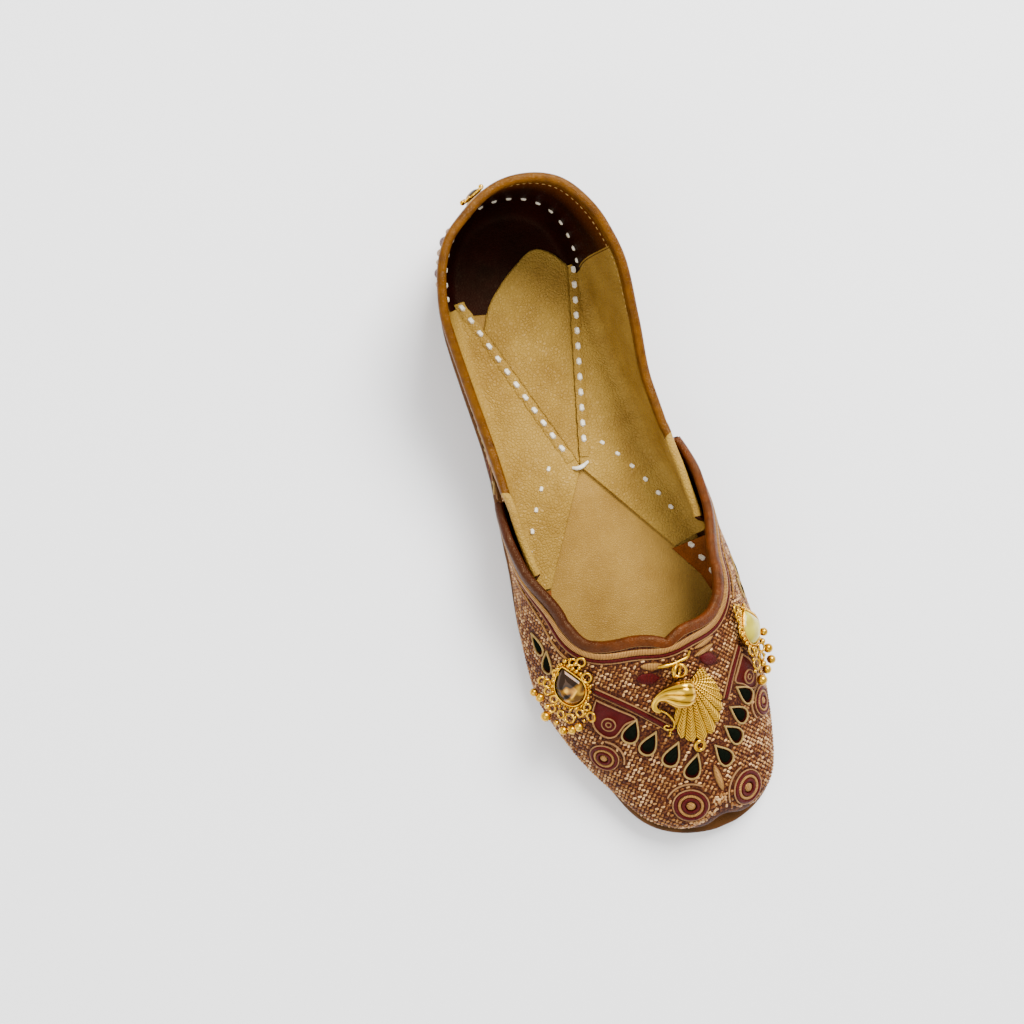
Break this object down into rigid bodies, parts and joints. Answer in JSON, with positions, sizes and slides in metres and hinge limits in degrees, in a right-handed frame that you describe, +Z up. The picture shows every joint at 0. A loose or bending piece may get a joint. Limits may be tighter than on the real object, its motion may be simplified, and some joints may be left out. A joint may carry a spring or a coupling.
{
  "type": "mojari shoe",
  "caption": "Flat embroidered slip-on mojari with a two-lobed toe, an open throat and collar, turned-in lining flaps and gilt charms.",
  "frame": {"origin": "bottom centre of the shoe's box, on the floor plane", "axes": "+Z up, -Y toward the toe, +X toward the outer (little-toe) side"},
  "size_m": [0.0874, 0.2506, 0.0585],
  "materials": {
    "sole_leather": "waxed tan-brown sole leather with a burnished edge",
    "insole_leather": "matt tan leather with a fine pebble grain",
    "lining_leather": "soft olive-tan lining leather with white hand stitches",
    "embroidery": "rose-gold basket-weave thread over maroon cloth, with maroon, pale gold and black motifs",
    "binding_leather": "glossy chestnut-brown folded leather",
    "gilt_metal": "bright gilt brass, stamped and granulated"
  },
  "bodies": {
    "root": {"outsole": "sole_leather", "insole": "insole_leather", "lining_flap_left": "lining_leather", "lining_flap_right": "lining_leather", "upper_vamp": "embroidery", "upper_quarters": "embroidery", "quarter_binding": "binding_leather", "throat_binding": "binding_leather", "peacock_tail": "gilt_metal", "peacock_charm": "gilt_metal", "side_charm_left": "gilt_metal", "side_charm_right": "gilt_metal", "heel_charm": "gilt_metal"}
  },
  "joints": []
}
